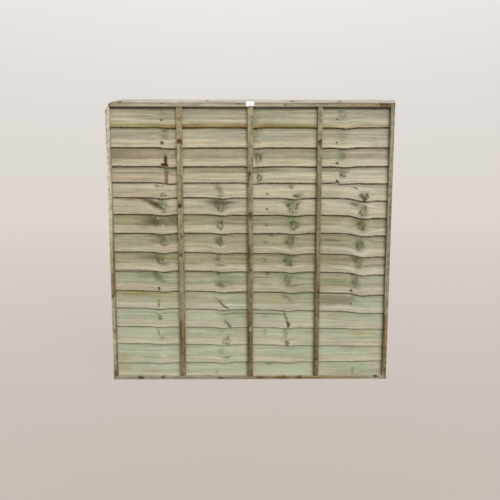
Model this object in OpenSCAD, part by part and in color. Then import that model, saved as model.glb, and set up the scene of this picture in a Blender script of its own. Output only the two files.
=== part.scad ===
// Overlap fence panel, six feet square. Thin sawn boards with a waney lower edge lap over one
// another between front and back battens, in a frame of stiles and rails under a weather cap.
// The front faces -Y, the boards run along X and +Z is up.
// Origin: middle of the outer edge of the front stile at the left end, which stands at a post.

/* [Panel] */
// overall width, from post to post
panel_w = 1829; // [1200:1:2400]
// overall height, from the underside of the bottom rails to the top of the cap
panel_h = 1829; // [1500:1:2100]

/* [Frame] */
// face width of the stiles at the two ends
stile_w = 26; // [20:0.5:60]
// face width of the left and middle battens
batten_w = 35; // [24:0.5:60]
// face width of the right batten, which is sawn narrower
batten_right_w = 30; // [24:0.5:60]
// how far the right batten stands off its even place, towards the middle
batten_off = 8; // [0:0.5:40]
// depth of the stiles, battens and rails, front to back
batten_d = 16; // [12:0.5:30]
// face height of the rails
rail_h = 22; // [16:0.5:60]
// width of the corner broken away at the top left
chip_w = 110; // [40:1:160]
// height of the corner broken away at the top left
chip_h = 75; // [60:1:120]

/* [Weather cap] */
// height of the cap
cap_h = 26; // [16:0.5:40]
// height of the cap's square side under its slope
cap_side_h = 4; // [2:0.5:10]
// width of the flat along the cap's top
cap_flat_w = 12; // [6:0.5:30]
// how far the cap stands out past the rails, front and back
cap_over = 2; // [0:0.5:10]

/* [Boards] */
// thickness of a board
board_t = 5.6; // [4:0.1:10]
// lap of a board behind the one above it
board_lap = 24; // [16:0.5:40]
// how far the boards' ends stand in from the stiles' outer edges
board_inset = 3; // [1:0.5:10]

/* [Waney edge] */
// height of the slow wave along a board's lower edge
wave_h = 3; // [0:0.1:8]
// length of the log's slow wave along the edge
wave_w = 760; // [500:10:1200]
// length of the shorter wave that rides on it
ripple_w = 290; // [200:10:480]
// how far the edge swells down at a knot
knot_h = 8; // [0:0.1:12]
// half length of the swelling at a knot
knot_w = 50; // [30:1:90]
// half length over which an edge steps down near the right end
step_w = 45; // [20:1:90]
// distance of that step from the right end
step_from_end = 238; // [100:1:500]
// height of the bark side's bevel along the lower edge
wane_h = 5; // [2:0.1:10]
// thickness of wood that the bevel takes off the front of the edge
wane_t = 2.4; // [1:0.1:3.5]
// length over which the bevel's height comes and goes
wane_w = 170; // [100:5:400]

/* [Hidden] */

// heights of the courses against one another, top course first: no two boards are sawn alike
course_h = [135, 126, 119, 110, 108, 112, 115, 140, 119, 136, 127, 107, 118, 111, 95];
// how far each board's lower edge falls from the left end to the right, less than 0 where it rises,
// in the same measure as the courses
fall_h = [0, 0, 0, 3, 8, 11, 3, 24, 17, 24, 30, 20, 21, -9, 0];
// how far it steps down as well, close to the right end, where the logs taper off
step_h = [0, 0, 0, 5, 14, 15, 14, 13, 13, 10, 13, 4, 3, 0, 0];
// the boards are sawn one after another from three logs, so their knots and waves repeat
log_of = [0, 0, 0, 0, 1, 1, 1, 1, 1, 1, 2, 2, 2, 2, 2];
// where each log's knots lie, from the panel's left end
knot_x = [[399, 936, 1524], [349, 737, 1198, 1659], [315, 732, 1165]];
last = len(course_h) - 1;
steps = 80;

top_z = panel_h / 2;
rail_top_z = top_z - cap_h;
open_top_z = rail_top_z - rail_h;
foot_z = -panel_h / 2;
open_foot_z = foot_z + rail_h;
// the bottom board stops short of the panel's underside, and the top one short of the cap
end_gap = 3;
course_k = (open_top_z - foot_z - end_gap) / run(course_h, last);
// allowance on top of the mean height of an edge's waves, so that no lap comes out short
edge_spare = 2;
// mean height of a waney edge over the lowest point of its own wave
edge_mean = (wave_h + knot_h) / 2 + edge_spare;

// space between the front and back battens, for the thickest lap
layer_y = batten_d / 2;
layer_d = max([for (i = [0:last]) 2 * board_t + slope(i) * (rise(i - 1) + edge_mean + board_lap)]);
back_y = layer_y + layer_d;
panel_d = layer_d + 2 * batten_d;
mid_y = layer_y + layer_d / 2;

// sum of the entries of v up to number n
function run(v, n) = n < 0 ? 0 : v[n] + run(v, n - 1);
// lowest point of the lower edge of board i, and for -1 the underside of the top rail
function low_z(i) = open_top_z - course_k * run(course_h, i);
// lean of board i, front to back, over its height: one thickness for each course
function slope(i) = board_t / (low_z(max(i, 0) - 1) - low_z(max(i, 0)));
// most that the lower edge of board i stands over its lowest point, without its waves
function rise(i) = i < 0 ? 0 : course_k * (abs(fall_h[i]) + step_h[i]);
function fall(i, share) = course_k * (max(fall_h[i], 0) * (1 - share) + max(-fall_h[i], 0) * share);
function step(i, x) = course_k * step_h[i] / (1 + exp(2 * (x - panel_w + step_from_end) / step_w));
// slow wave of the log, from 0 to 1
function wave(i, x) = 0.5 + 0.3 * sin(360 * x / wave_w + 110 * log_of[i] + 9 * i)
    + 0.2 * sin(360 * x / ripple_w + 70 * log_of[i] + 23 * i);
// swelling at the nearest knot, from 0 to 1
function swell(i, x) = max([for (k = knot_x[log_of[i]]) exp(-pow((x - k) / knot_w, 2))]);
// height of the waney edge of board i over its own lowest point
function edge(i, x) = i == last ? 0
    : fall(i, x / panel_w) + step(i, x) + wave_h * wave(i, x) + knot_h * (1 - swell(i, x));
function bevel(i, x) = wane_h * (0.7 + 0.3 * sin(360 * x / wane_w + 140 * i));
function along(n) = board_inset + (panel_w - 2 * board_inset) * n / steps;
// height of the upper edge of board i at x: straight, along the fall of the board in front
function head_z(i, x) = i == 0 ? rail_top_z - end_gap
    : low_z(i - 1) + fall(i - 1, x / panel_w) + course_k * step_h[i - 1] + edge_mean + board_lap;

// a profile of points [y, z] run along X
module along_x(x, length, points) {
    translate([x, 0, 0]) rotate([90, 0, 90]) linear_extrude(height = length) polygon(points);
}

// a face outline of points [x, z] run along Y
module along_y(y, depth, points) {
    translate([0, y + depth, 0]) rotate([90, 0, 0]) linear_extrude(height = depth) polygon(points);
}

// the corner that is broken away at the top left, through the whole thickness
module broken_corner() {
    along_y(-batten_d, panel_d + 2 * batten_d, [
        [-1, top_z - chip_h],
        [chip_w * 0.05, top_z - chip_h * 0.88],
        [chip_w * 0.15, top_z - chip_h * 0.7],
        [chip_w * 0.21, top_z - chip_h * 0.42],
        [chip_w * 0.29, top_z - chip_h * 0.33],
        [chip_w * 0.64, top_z - chip_h * 0.12],
        [chip_w, top_z + 1],
        [-1, top_z + 1]
    ]);
}

module rail(y, z) {
    translate([0, y, z]) cube([panel_w, batten_d, rail_h]);
}

module upright(x, w, y) {
    translate([x, y, open_foot_z]) cube([w, batten_d, open_top_z - open_foot_z]);
}

// batten number 1 to 3 of the middle three, w wide, standing off its even place by off
module batten(n, w, off, y) {
    upright(stile_w / 2 + (panel_w - stile_w) * n / 4 - off - w / 2, w, y);
}

// a board leans back so that its head passes behind the board above, face to face with it,
// and its lower edge is the log's own wavy one, with the bark side bevelled off
module lap_board(i) {
    foot = low_z(i);
    neck = low_z(i - 1);
    head = max(head_z(i, 0), head_z(i, panel_w));
    lean = slope(i);
    lean_above = slope(i - 1);
    front = layer_y + board_t;
    difference() {
        intersection() {
            along_x(board_inset, panel_w - 2 * board_inset, [
                [layer_y, foot],
                [front, foot],
                [front + lean * (head - foot), head],
                [front + lean_above * (head - neck), head],
                [front, neck]
            ]);
            along_y(layer_y - 1, layer_d + 2, concat(
                [for (n = [0:steps]) [along(n), foot + edge(i, along(n))]],
                [[along(steps), head_z(i, along(steps))], [along(0), head_z(i, along(0))]]
            ));
        }
        if (i < last) wane(i, foot, lean);
    }
}

module wane(i, foot, lean) {
    reach = rise(i) + 2 * edge_mean + 2 * wane_h;
    intersection() {
        along_x(0, panel_w, [
            [layer_y - 2, foot - 1],
            [layer_y + wane_t - lean, foot - 1],
            [layer_y + wane_t + lean * reach, foot + reach],
            [layer_y - 2, foot + reach]
        ]);
        along_y(layer_y - 3, layer_d, concat(
            [for (n = [0:steps]) [along(n), foot + edge(i, along(n)) + bevel(i, along(n))]],
            [[along(steps), foot - 2], [along(0), foot - 2]]
        ));
    }
}

module weather_cap() {
    color([0.8, 0.77, 0.7]) difference() {
        along_x(0, panel_w, [
            [-layer_y - cap_over, rail_top_z],
            [-layer_y - cap_over, rail_top_z + cap_side_h],
            [mid_y - cap_flat_w / 2, top_z],
            [mid_y + cap_flat_w / 2, top_z],
            [back_y + batten_d + cap_over, rail_top_z + cap_side_h],
            [back_y + batten_d + cap_over, rail_top_z]
        ]);
        broken_corner();
    }
}

module top_rail_front() { color([0.6, 0.57, 0.47]) chipped() rail(-layer_y, open_top_z); }
module top_rail_back() { color([0.6, 0.57, 0.47]) chipped() rail(back_y, open_top_z); }
module bottom_rail_front() { color([0.5, 0.46, 0.39]) rail(-layer_y, foot_z); }
module bottom_rail_back() { color([0.5, 0.46, 0.39]) rail(back_y, foot_z); }

module stile_left_front() { color([0.56, 0.51, 0.41]) chipped() upright(0, stile_w, -layer_y); }
module stile_left_back() { color([0.56, 0.51, 0.41]) chipped() upright(0, stile_w, back_y); }
module stile_right_front() { color([0.5, 0.44, 0.34]) upright(panel_w - stile_w, stile_w, -layer_y); }
module stile_right_back() { color([0.5, 0.44, 0.34]) upright(panel_w - stile_w, stile_w, back_y); }

module batten_left_front() { color([0.54, 0.49, 0.39]) batten(1, batten_w, 0, -layer_y); }
module batten_left_back() { color([0.54, 0.49, 0.39]) batten(1, batten_w, 0, back_y); }
module batten_middle_front() { color([0.54, 0.48, 0.38]) batten(2, batten_w, 0, -layer_y); }
module batten_middle_back() { color([0.54, 0.48, 0.38]) batten(2, batten_w, 0, back_y); }
module batten_right_front() { color([0.53, 0.48, 0.39]) batten(3, batten_right_w, batten_off, -layer_y); }
module batten_right_back() { color([0.53, 0.48, 0.39]) batten(3, batten_right_w, batten_off, back_y); }

module board_01() { color([0.63, 0.61, 0.5]) chipped() lap_board(0); }
module board_02() { color([0.66, 0.63, 0.52]) lap_board(1); }
module board_03() { color([0.66, 0.63, 0.52]) lap_board(2); }
module board_04() { color([0.67, 0.63, 0.53]) lap_board(3); }
module board_05() { color([0.69, 0.66, 0.57]) lap_board(4); }
module board_06() { color([0.69, 0.66, 0.56]) lap_board(5); }
module board_07() { color([0.64, 0.61, 0.5]) lap_board(6); }
module board_08() { color([0.64, 0.62, 0.5]) lap_board(7); }
module board_09() { color([0.63, 0.61, 0.5]) lap_board(8); }
module board_10() { color([0.63, 0.6, 0.5]) lap_board(9); }
module board_11() { color([0.62, 0.61, 0.52]) lap_board(10); }
module board_12() { color([0.61, 0.62, 0.52]) lap_board(11); }
module board_13() { color([0.62, 0.63, 0.53]) lap_board(12); }
module board_14() { color([0.64, 0.65, 0.55]) lap_board(13); }
module board_15() { color([0.65, 0.66, 0.56]) lap_board(14); }

module chipped() {
    difference() {
        children();
        broken_corner();
    }
}

weather_cap();
top_rail_front();
top_rail_back();
bottom_rail_front();
bottom_rail_back();
stile_left_front();
stile_left_back();
stile_right_front();
stile_right_back();
batten_left_front();
batten_left_back();
batten_middle_front();
batten_middle_back();
batten_right_front();
batten_right_back();
board_01();
board_02();
board_03();
board_04();
board_05();
board_06();
board_07();
board_08();
board_09();
board_10();
board_11();
board_12();
board_13();
board_14();
board_15();
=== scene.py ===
import math
import bpy
import numpy as np
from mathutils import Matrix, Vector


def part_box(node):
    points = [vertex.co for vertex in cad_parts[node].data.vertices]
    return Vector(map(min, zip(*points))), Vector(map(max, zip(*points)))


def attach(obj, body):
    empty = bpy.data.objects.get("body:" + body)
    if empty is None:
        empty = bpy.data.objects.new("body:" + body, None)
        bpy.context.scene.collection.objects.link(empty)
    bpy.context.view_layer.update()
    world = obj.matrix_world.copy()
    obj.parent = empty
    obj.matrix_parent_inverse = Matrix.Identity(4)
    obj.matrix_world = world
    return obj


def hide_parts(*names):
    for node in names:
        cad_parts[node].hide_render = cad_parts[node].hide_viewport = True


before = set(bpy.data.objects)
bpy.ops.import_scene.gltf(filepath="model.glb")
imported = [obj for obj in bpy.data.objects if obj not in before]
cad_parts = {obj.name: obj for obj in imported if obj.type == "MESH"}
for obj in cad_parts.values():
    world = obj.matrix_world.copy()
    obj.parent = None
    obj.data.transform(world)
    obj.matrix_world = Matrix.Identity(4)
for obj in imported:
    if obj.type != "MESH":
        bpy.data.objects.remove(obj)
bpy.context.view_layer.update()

# The lap boards
# Fifteen boards of thin softwood, sawn straight through the log so that the lower edge keeps the
# log's own wavy line. Each one leans back and tucks its head behind the board above it.
# They are nailed between the front and back battens while green, then pressure treated.
WIDE, HIGH = 1.829, 1.829
CAP_TALL, RAIL_TALL = 0.026, 0.022
DEEP = 0.016                       # front to back, of every batten, stile and rail
STILE_WIDE, BATTEN_WIDE, NARROW_BATTEN = 0.026, 0.035, 0.030
UPRIGHT_WIDE = (STILE_WIDE, BATTEN_WIDE, BATTEN_WIDE, NARROW_BATTEN, STILE_WIDE)
BATTEN_OFF = 0.008                 # the right batten stands this far left of its even place
BOARD_THICK, BOARD_LAP = 0.0056, 0.024
BOARD_SHY, HEAD_SHY = 0.003, 0.003  # boards stop short of the panel's ends, and of the cap
WAVE, KNOT_SWELL, KNOT_HALF, EDGE_SPARE = 0.003, 0.008, 0.050, 0.002
STEP_HALF, STEP_FROM_END = 0.045, 0.238
WANE_TALL, WANE_THICK = 0.005, 0.0024
# for each board from the top, in millimetres: what shows of it, how far its edge falls from one end
# to the other and its step near the right end, then the log that it comes from
COURSES = [135, 126, 119, 110, 108, 112, 115, 140, 119, 136, 127, 107, 118, 111, 95]
FALLS = [0, 0, 0, 3, 8, 11, 3, 24, 17, 24, 30, 20, 21, -9, 0]
STEPS = [0, 0, 0, 5, 14, 15, 14, 13, 13, 10, 13, 4, 3, 0, 0]
LOGS = [0, 0, 0, 0, 1, 1, 1, 1, 1, 1, 2, 2, 2, 2, 2]
LOG_KNOTS = [(0.399, 0.936, 1.524), (0.349, 0.737, 1.198, 1.659), (0.315, 0.732, 1.165)]
BOARDS = len(COURSES)
LAST = BOARDS - 1                  # the bottom board, sawn straight at its foot
TOP, FOOT = HIGH / 2, -HIGH / 2
RAIL_TOP = TOP - CAP_TALL
OPEN_TOP = RAIL_TOP - RAIL_TALL
LAYER = DEEP / 2                   # where the boards start, behind the front battens
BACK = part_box("batten_middle_back")[0].y
# what shows of a board reaches from LOWEST[row] down to LOWEST[row + 1]
LOWEST = [OPEN_TOP - sum(COURSES[:i]) / 1000 for i in range(BOARDS + 1)]
# corners of the break across the top left corner, from outside the end to above the cap
BREAK_ACROSS = np.array([-1, 5.5, 16.5, 23.1, 31.9, 70.4, 110]) / 1000
BREAK_HIGH = TOP - np.array([75, 66, 52.5, 31.5, 24.75, 9, -1]) / 1000


def knot_swell(log, x):
    return np.max([np.exp(-((x - k) / KNOT_HALF) ** 2) for k in LOG_KNOTS[log]], axis=0)


def log_wave(row, x):
    turn = 2 * math.pi
    slow = 0.3 * np.sin(turn * x / 0.76 + math.radians(110 * LOGS[row] + 9 * row))
    return 0.5 + slow + 0.2 * np.sin(turn * x / 0.29 + math.radians(70 * LOGS[row] + 23 * row))


def edge_waves(row, x):
    return WAVE * log_wave(row, x) + KNOT_SWELL * (1 - knot_swell(LOGS[row], x))


def fall_of(row, x):
    """How far a course hangs above its own lower end."""
    fall = FALLS[row] / 1000
    return max(fall, 0) * (1 - x / WIDE) + max(-fall, 0) * x / WIDE


def waney_edge(row, x):
    """Height of the lower edge of a board along the panel."""
    if row == LAST:
        return np.full_like(x, LOWEST[BOARDS])
    step = STEPS[row] / 1000 / (1 + np.exp(2 * (x - WIDE + STEP_FROM_END) / STEP_HALF))
    return LOWEST[row + 1] + (fall_of(row, x) + step) + edge_waves(row, x)


def broken_line(x):
    """Height of the break across the top left corner, where the wood above it is gone."""
    return np.where(x < BREAK_ACROSS[-1], np.interp(x, BREAK_ACROSS, BREAK_HIGH), TOP + 1)


def board_head(row, x):
    """Height of the upper edge, sawn straight along the fall of the board in front."""
    if row == 0:
        return np.minimum(RAIL_TOP - HEAD_SHY, broken_line(x))
    course = LOWEST[row] + fall_of(row - 1, x) + STEPS[row - 1] / 1000
    return course + (WAVE + KNOT_SWELL) / 2 + EDGE_SPARE + BOARD_LAP


def chatter(x, seed, size):
    """An even, ragged line between -1 and 1, with no two pieces alike."""
    t = x / size
    return (np.sin(t * 6.1 + seed * 1.7) + 0.7 * np.sin(t * 14.3 + seed * 4.1)
            + 0.5 * np.sin(t * 31.7 + seed * 2.3)) / 2.2


def soft_step(low, high, value):
    t = np.clip((value - low) / (high - low), 0, 1)
    return t * t * (3 - 2 * t)


def light_of(levels):
    """Levels as the eye reads them off the wood, 0 to 255, as the light that it gives back."""
    c = np.asarray(levels, float) / 255
    return np.where(c <= 0.04045, c / 12.92, ((c + 0.055) / 1.055) ** 2.4)


def opaque(levels):
    """The same light, as a colour for a node."""
    return (*light_of(levels), 1)


def centre_of(number):
    """Middle of an upright, numbered from the left stile."""
    return STILE_WIDE / 2 + (WIDE - STILE_WIDE) * number / 4 - (BATTEN_OFF if number == 3 else 0)


# What shows in the wood: its shade, how far out it keeps its full strength, how softly its rim
# fades, and whether the grain bends round it.
SIGNS = {
    "dead": ((58, 46, 28), 0.6, 0.9, True),       # dead knot, ringed with bark
    "ring": ((64, 66, 40), None, 0.27, True),     # live knot cut across, with a pale heart
    "smear": ((84, 79, 54), 0.2, 1.5, True),      # grain torn grey round a branch
    "film": ((84, 79, 54), 0.2, 1.5, False),      # thin grime over a wide stretch
    "green": ((120, 130, 94), 0.0, 1.7, False),   # where the treatment took up green
    "mint": ((164, 186, 158), 0.0, 1.7, False),
    "pale": ((204, 200, 172), 0.0, 1.6, False),
    "red": ((58, 34, 22), 0.6, 0.7, True),        # resin and bark
    "pink": ((190, 162, 144), 0.0, 1.8, False),   # red heartwood
    "tan": ((140, 114, 72), 0.0, 1.8, False),
    "olive": ((156, 150, 98), 0.0, 1.8, False),
    "grey": ((158, 156, 148), 0.0, 1.8, False),
    "brown": ((84, 60, 34), 0.4, 1.2, False),     # sap streak in a batten
    "burr": ((98, 62, 40), 0.7, 0.5, True),       # knot sawn square across
    "stain": ((120, 108, 84), 0.85, 0.25, False),  # where a board lay against another
    "crack": ((72, 68, 40), 0.5, 0.9, False),
}
FAR_FROM_KNOTS = 9.0


def read_signs(marks, along, up, tint, grain):
    """Works the marks into a piece's shades and bends its grain. Marks are in millimetres: sign,
    place along, place up, half length, half height, strength and, if it leans, its tilt in degrees.
    Gives how far each point lies from the nearest knot, in that knot's own half widths."""
    ring = np.full(along.shape, FAR_FROM_KNOTS)
    for sign, a, u, half, tall, strength, *tilt in marks:
        levels, core, rim, bends = SIGNS[sign]
        lean = math.radians(tilt[0] if tilt else 0)
        c, s = math.cos(lean), math.sin(lean)
        da, du = along - a / 1000, up - u / 1000
        p, q = (da * c + du * s) / (half / 1000), (du * c - da * s) / (tall / 1000)
        turn = np.arctan2(q, p)
        square = sign in ("red", "crack", "burr", "stain")
        blunt = 5 if square else 2
        uneven = 0.14 * np.sin(3 * turn + a) + 0.1 * np.sin(5 * turn + u)
        uneven = (uneven + 0.07 * np.sin(8 * turn + a + u)) * (0.3 if square else 1.0)
        d = (np.abs(p) ** blunt + np.abs(q) ** blunt) ** (1 / blunt) * (1 + uneven)
        if core is None:
            patchy = 0.72 + 0.28 * np.sin(2 * turn + u) + 0.2 * np.sin(6 * turn + a)
            amount = np.exp(-((d - 0.7) / rim) ** 2) * patchy + 0.4 * np.exp(-((d - 0.1) / 0.22) ** 2)
            ring = np.minimum(ring, d)
        else:
            amount = 1 - soft_step(core, core + rim, d)
            if sign in ("dead", "red", "burr"):
                ring = np.minimum(ring, d * 1.2)
        amount = np.clip(amount * strength, 0, 1)[..., None]
        tint[...] = tint + (light_of(levels) - tint) * amount
        if bends:
            near = np.exp(-(p / 2.4) ** 2 - (q / 1.9) ** 2)
            grain[..., 1] -= du * near * 0.55
            grain[..., 1] += 0.0016 * near * np.sin(p * 2.1)
    return ring


def put(name, data):
    """Stands a new object in the scene."""
    thing = bpy.data.objects.new(name, data)
    bpy.context.scene.collection.objects.link(thing)
    return thing


def soften(mesh, sharp_from):
    """Shades a mesh smooth, but for edges that turn by more degrees than this."""
    mesh.polygons.foreach_set("use_smooth", [True] * len(mesh.polygons))
    mesh.set_sharp_from_angle(angle=math.radians(sharp_from))


def sawn_piece(name, rings, tint, grain, shade_and_knots, finish, nodes):
    """Skins the outlines of a piece from one end to the other and hands it to the panel.
    rings: sections x points round x 3. The two ends are closed with the sawn face."""
    sections, around = rings.shape[:2]
    here = np.arange(around)
    start = np.arange(sections - 1)[:, None] * around
    a, b = (start + here).ravel(), (start + (here + 1) % around).ravel()
    faces = np.stack([a, b, b + around, a + around], 1).tolist()
    faces += [here[::-1].tolist(), (here + (sections - 1) * around).tolist()]
    flat = rings.reshape(-1, 3)
    middle = flat.mean(axis=0)
    q = flat[np.array(faces[:-2])] - middle
    inward = np.einsum("ij,ij->", np.cross(q[:, 1] - q[:, 0], q[:, 2] - q[:, 0]), q.mean(axis=1)) < 0
    if inward:
        faces = [f[::-1] for f in faces]
    mesh = bpy.data.meshes.new(name)
    mesh.from_pydata(flat.tolist(), [], faces)
    soften(mesh, 38)
    colour = np.ones((len(flat), 4))
    colour[:, :3] = tint.reshape(-1, 3)
    mesh.attributes.new("tint", "FLOAT_COLOR", "POINT").data.foreach_set("color", colour.ravel())
    mesh.attributes.new("grain", "FLOAT_VECTOR", "POINT").data.foreach_set("vector", grain.reshape(-1))
    mesh.attributes.new("shade_and_knots", "FLOAT_VECTOR", "POINT").data.foreach_set("vector", shade_and_knots.reshape(-1))
    mesh.materials.append(finish)
    piece = put(name, mesh)
    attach(piece, "root")
    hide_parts(*nodes)


def wire(tree, kind, feeds, **settings):
    """Adds a node, with its settings, and what feeds each socket."""
    node = tree.nodes.new(kind)
    for key, value in settings.items():
        setattr(node, key, value)
    for key, value in feeds.items():
        if isinstance(value, bpy.types.NodeSocket):
            tree.links.new(value, node.inputs[key])
        else:
            node.inputs[key].default_value = value
    return node


def sums(t, kind, a, b=0.0, c=0.0):
    return wire(t, "ShaderNodeMath", {0: a, 1: b, 2: c}, operation=kind).outputs[0]


def reach(t, value, low, high, start, end, way="LINEAR"):
    """Takes a value from between low and high to between start and end."""
    return wire(t, "ShaderNodeMapRange", {"Value": value, "From Min": low, "From Max": high, "To Min": start,
                                          "To Max": end}, interpolation_type=way).outputs[0]


def mixed(t, factor, a, b, blend="MIX"):
    return wire(t, "ShaderNodeMix", {"Factor": factor, 6: a, 7: b}, data_type="RGBA",
                blend_type=blend).outputs[2]


def empty_finish(name):
    """A material that nothing is wired into yet."""
    finish = bpy.data.materials.new(name)
    finish.use_nodes = True
    finish.node_tree.nodes.clear()
    return finish


def lay_coat(t, coat, height, strength, distance):
    """Closes a material with its coat, which stands up and sinks with the height."""
    relief = wire(t, "ShaderNodeBump", {"Strength": strength, "Distance": distance, "Height": height})
    skin = wire(t, "ShaderNodeBsdfPrincipled", {"Normal": relief.outputs[0], **coat})
    wire(t, "ShaderNodeOutputMaterial", {"Surface": skin.outputs[0]})


def treated_softwood(name, fibre, streak, saw, mottle, rough, hue):
    """Rough sawn, pressure treated softwood. It reads the shades, the bent grain, the knots and the painted
    shade with its dirt that were worked into the piece: fibre, streak, saw and mottle are the strengths of
    those patterns."""
    finish = empty_finish(name)
    t = finish.node_tree
    tint = wire(t, "ShaderNodeAttribute", {}, attribute_name="tint").outputs["Color"]
    grain = wire(t, "ShaderNodeAttribute", {}, attribute_name="grain").outputs["Vector"]
    shade_and_knots = wire(t, "ShaderNodeAttribute", {}, attribute_name="shade_and_knots").outputs["Vector"]
    shade_and_knots = wire(t, "ShaderNodeSeparateXYZ", {0: shade_and_knots}).outputs

    def place(kind, a, b):
        return wire(t, "ShaderNodeVectorMath", {0: a, 1: b}, operation=kind).outputs[0]

    def noise(along, across, detail, seed):
        way = place("MULTIPLY", grain, (along, across, across * 0.8))
        way = place("ADD", way, (seed, seed * 0.7, 3.1))
        return wire(t, "ShaderNodeTexNoise", {"Vector": way, "Scale": 1.0, "Detail": detail,
                                              "Roughness": 0.6}).outputs[0]

    fine = noise(9, 620, 2.0, 1.3)            # single fibres, a millimetre and a half
    line = noise(4.5, 150, 3.0, 5.1)          # summer wood lines
    band = noise(2.6, 62, 3.0, 9.7)           # broad streaks of the sawn face
    cloud = noise(2.6, 11, 3.0, 2.2)          # uneven treatment
    teeth = noise(260, 9, 2.0, 7.4)           # saw marks, across the grain
    blotch = noise(24 + 8 * mottle, 60 - 12 * mottle, 2.0, 6.6)
    light = 1.0
    for pattern, low, amount in ((line, 0.36, 0.10 * fibre), (band, 0.36, 0.13 * streak),
                                 (fine, 0.3, 0.05 * fibre), (teeth, 0.3, 0.03 * saw),
                                 (cloud, 0.3, 0.05), (blotch, 0.35, 0.04 + 0.1 * mottle)):
        light = sums(t, "MULTIPLY_ADD", reach(t, pattern, low, 1 - low, -1.0, 1.0), amount, light)
    shade = wire(t, "ShaderNodeVectorMath", {0: tint, "Scale": light}, operation="SCALE").outputs[0]
    # the greener and the redder wood
    cast = reach(t, noise(2.1, 30, 2.0, 4.4), 0.35, 0.65, 0.0, 1.0)
    cast = mixed(t, cast, (1 + hue, 1.0, 1 - hue, 1), (1 - hue, 1 + hue * 0.4, 1.0, 1))
    shade = mixed(t, 1.0, shade, cast, "MULTIPLY")
    # rings round a knot
    hoop = sums(t, "SINE", sums(t, "MULTIPLY_ADD", shade_and_knots["Y"], 17.0, sums(t, "MULTIPLY", cloud, 6.0)))
    hoop = sums(t, "MULTIPLY", reach(t, hoop, -0.2, 0.9, 0.0, 0.42), reach(t, shade_and_knots["Y"], 0.9, 1.7, 1.0, 0.0))
    shade = mixed(t, hoop, shade, opaque((84, 76, 50)))
    # painted shade, with some dirt: the wood darkens to dark brown just under the lap, or in a corner of the
    # frame, where shade falls
    ragged = sums(t, "MULTIPLY_ADD", sums(t, "SUBTRACT", line, 0.5), 0.006, shade_and_knots["X"])
    held_shade_and_dirt = reach(t, ragged, 0.0036, 0.0096, 0.93, 0.0, "SMOOTHSTEP")
    film = reach(t, ragged, 0.002, 0.026, 0.3, 0.0, "SMOOTHSTEP")
    held_shade_and_dirt = sums(t, "MULTIPLY", sums(t, "MAXIMUM", held_shade_and_dirt, film), shade_and_knots["Z"])
    shade = mixed(t, held_shade_and_dirt, shade, opaque((56, 41, 0)))
    bump = sums(t, "MULTIPLY_ADD", line, 0.5, sums(t, "MULTIPLY", fine, 0.4))
    bump = sums(t, "MULTIPLY_ADD", teeth, 0.55 * saw, bump)
    bump = sums(t, "MULTIPLY_ADD", hoop, -0.5, bump)
    dull = reach(t, line, 0.3, 0.7, rough - 0.07, rough + 0.07)
    lay_coat(t, {"Base Color": shade, "Roughness": dull, "Specular IOR Level": 0.12}, bump, 0.55, 0.0011)
    return finish


# the upper, the middle and the lower five boards
UPPER_WOOD = treated_softwood("treated softwood, upper log", fibre=1.35, streak=1.25, saw=1.0, mottle=0.0,
                              rough=0.84, hue=0.03)
MIDDLE_WOOD = treated_softwood("treated softwood, middle log", fibre=1.4, streak=1.25, saw=1.0, mottle=0.1,
                               rough=0.85, hue=0.02)
LOWER_WOOD = treated_softwood("treated softwood, lower log", fibre=1.1, streak=0.9, saw=1.0, mottle=0.0,
                              rough=0.86, hue=0.022)

# what such wood weathers to, in levels from 0 to 255 as the eye reads it
WOOD = {
    "dusty": (166, 160, 138),
    "bare": (184, 175, 154),
    "brown": (160, 152, 129),
    "shaded": (151, 145, 119),
    "moss": (160, 159, 134),
    "mint": (169, 170, 146),
    "straw": (184, 176, 150),
    "sand": (176, 168, 144),
    "pale": (179, 175, 153),
    "bark side": (152, 140, 101),
    "bark": (112, 98, 56),
}
WEATHERED_END = np.array((6, 6, 10))
# for each board: its upper part, its lower part, where the one gives way to the other as a share of
# what shows, how softly, and how strongly the lap above darkens it with painted shade and some dirt
SAWN = [
    ("dusty", "straw", 0.40, 0.05, 1.0),
    ("dusty", "straw", 0.44, 0.04, 1.0),
    ("brown", "straw", 0.42, 0.04, 1.0),
    ("dusty", "straw", 0.60, 0.06, 1.0),
    ("bare", "straw", 0.50, 0.25, 0.9),
    ("bare", "sand", 0.62, 0.18, 1.0),
    ("shaded", "sand", 0.45, 0.05, 0.9),
    ("shaded", "sand", 0.42, 0.16, 0.85),
    ("shaded", "sand", 0.42, 0.08, 0.75),
    ("moss", "sand", 0.38, 0.10, 0.8),
    ("moss", "pale", 0.36, 0.05, 0.8),
    ("mint", "pale", 0.36, 0.06, 0.5),
    ("mint", "pale", 0.38, 0.08, 0.4),
    ("mint", "pale", 0.34, 0.10, 0.4),
    ("mint", "pale", 0.40, 0.20, 0.4),
]
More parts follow.
